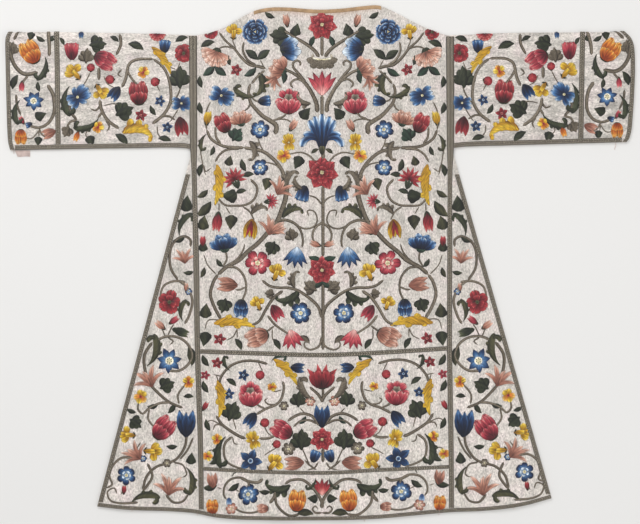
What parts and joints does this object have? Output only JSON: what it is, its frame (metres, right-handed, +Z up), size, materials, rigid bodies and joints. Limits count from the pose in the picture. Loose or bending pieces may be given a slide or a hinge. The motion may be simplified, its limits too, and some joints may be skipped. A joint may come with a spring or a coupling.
{
  "type": "dalmatic",
  "caption": "Wide-sleeved T-shaped church vestment of embroidered silk laid flat with its back up, with flared side gores and flat braid over every seam and edge.",
  "frame": {"origin": "on the ground under the middle of the garment laid flat, half way along its length and on its centre line", "axes": "+X along the sleeves to the right as seen from above, +Y up the back towards the neck, +Z up out of the ground"},
  "size_m": [1.3212, 1.082, 0.0099],
  "materials": {
    "silver_silk": "silver-white silk with a soft metallic sheen",
    "silver_braid": "flat woven braid of tarnished silver thread",
    "neck_binding": "worn tan silk binding",
    "plain_cloth": "matt plain weave"
  },
  "bodies": {
    "root": {"front_panel": "silver_silk", "front_gore_left": "silver_silk", "front_gore_right": "silver_silk", "back_panel": "silver_silk", "back_apparel": "silver_silk", "back_border": "silver_silk", "back_gore_left": "silver_silk", "back_gore_right": "silver_silk", "sleeve_left": "silver_silk", "sleeve_right": "silver_silk", "cuff_left": "silver_silk", "cuff_right": "silver_silk", "seam_braid_left": "silver_braid", "seam_braid_right": "silver_braid", "waist_braid": "silver_braid", "border_braid": "silver_braid", "hem_braid": "silver_braid", "gore_braid_left": "silver_braid", "gore_braid_right": "silver_braid", "cuff_braid_left": "silver_braid", "cuff_braid_right": "silver_braid", "cuff_seam_braid_left": "silver_braid", "cuff_seam_braid_right": "silver_braid", "underarm_braid_left": "silver_braid", "underarm_braid_right": "silver_braid", "neck_binding": "neck_binding", "cuff_tab": "plain_cloth"}
  },
  "joints": []
}
